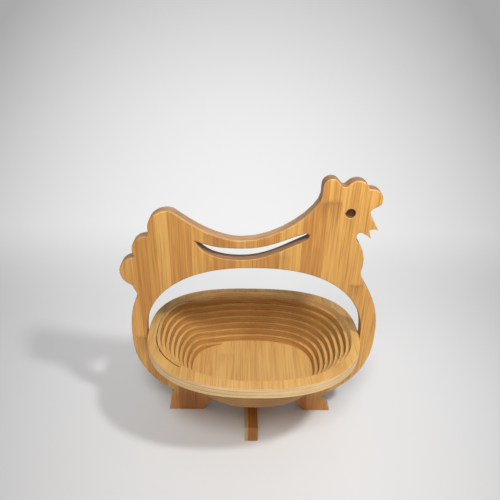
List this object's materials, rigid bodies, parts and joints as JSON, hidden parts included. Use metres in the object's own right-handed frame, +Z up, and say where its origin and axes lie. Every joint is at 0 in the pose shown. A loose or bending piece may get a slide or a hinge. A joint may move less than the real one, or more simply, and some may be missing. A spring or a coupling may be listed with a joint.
{
  "type": "hen-shaped folding egg holder",
  "caption": "Upright wooden board with a hen's outline that carries a spiral-sawn folding basket for eggs on side pins and stands on a swing-out cross foot.",
  "frame": {"origin": "on the standing plane, under the axis on which the cross foot swings and in the middle of the board's thickness", "axes": "+Z up, +X to the right when the hen is seen from the front, as in the picture, +Y away from that viewer, through the board"},
  "size_m": [0.2685, 0.169, 0.2949],
  "materials": {
    "frame_wood": "satin",
    "basket_wood": "satin",
    "foot_wood": "satin",
    "steel": "satin"
  },
  "bodies": {
    "frame": {"hen_frame": "frame_wood", "left_pivot_pin": "steel", "right_pivot_pin": "steel", "foot_screw": "steel"},
    "rim": {"basket_rim": "basket_wood"},
    "turn_1": {"coil_turn_1": "basket_wood"},
    "turn_2": {"coil_turn_2": "basket_wood"},
    "turn_3": {"coil_turn_3": "basket_wood"},
    "turn_4": {"coil_turn_4": "basket_wood"},
    "turn_5": {"coil_turn_5": "basket_wood"},
    "turn_6": {"coil_turn_6": "basket_wood"},
    "turn_7": {"coil_turn_7": "basket_wood"},
    "floor": {"basket_base": "basket_wood"},
    "foot": {"cross_foot": "foot_wood"}
  },
  "joints": [
    {"name": "rim_fold", "type": "hinge", "parent": "frame", "child": "rim", "pos_m": [0, 0, 0.1104], "axis": [-1, 0, 0], "range_deg": [-65, 90]},
    {"name": "drop_1", "type": "slide", "parent": "rim", "child": "turn_1", "axis": [0, 0, 1], "range_m": [0, 0.00675]},
    {"name": "drop_2", "type": "slide", "parent": "turn_1", "child": "turn_2", "axis": [0, 0, 1], "range_m": [0, 0.00675]},
    {"name": "drop_3", "type": "slide", "parent": "turn_2", "child": "turn_3", "axis": [0, 0, 1], "range_m": [0, 0.00675]},
    {"name": "drop_4", "type": "slide", "parent": "turn_3", "child": "turn_4", "axis": [0, 0, 1], "range_m": [0, 0.00675]},
    {"name": "drop_5", "type": "slide", "parent": "turn_4", "child": "turn_5", "axis": [0, 0, 1], "range_m": [0, 0.00675]},
    {"name": "drop_6", "type": "slide", "parent": "turn_5", "child": "turn_6", "axis": [0, 0, 1], "range_m": [0, 0.00675]},
    {"name": "drop_7", "type": "slide", "parent": "turn_6", "child": "turn_7", "axis": [0, 0, 1], "range_m": [0, 0.00675]},
    {"name": "drop_8", "type": "slide", "parent": "turn_7", "child": "floor", "axis": [0, 0, 1], "range_m": [0, 0.00675]},
    {"name": "foot_swing", "type": "hinge", "parent": "frame", "child": "foot", "pos_m": [0, 0, 0], "axis": [0, 0, 1], "range_deg": [-90, 90]}
  ],
  "couplings": [
    {"joint": "drop_2", "follows": "drop_1", "ratio": 1},
    {"joint": "drop_3", "follows": "drop_1", "ratio": 1},
    {"joint": "drop_4", "follows": "drop_1", "ratio": 1},
    {"joint": "drop_5", "follows": "drop_1", "ratio": 1},
    {"joint": "drop_6", "follows": "drop_1", "ratio": 1},
    {"joint": "drop_7", "follows": "drop_1", "ratio": 1},
    {"joint": "drop_8", "follows": "drop_1", "ratio": 1}
  ]
}
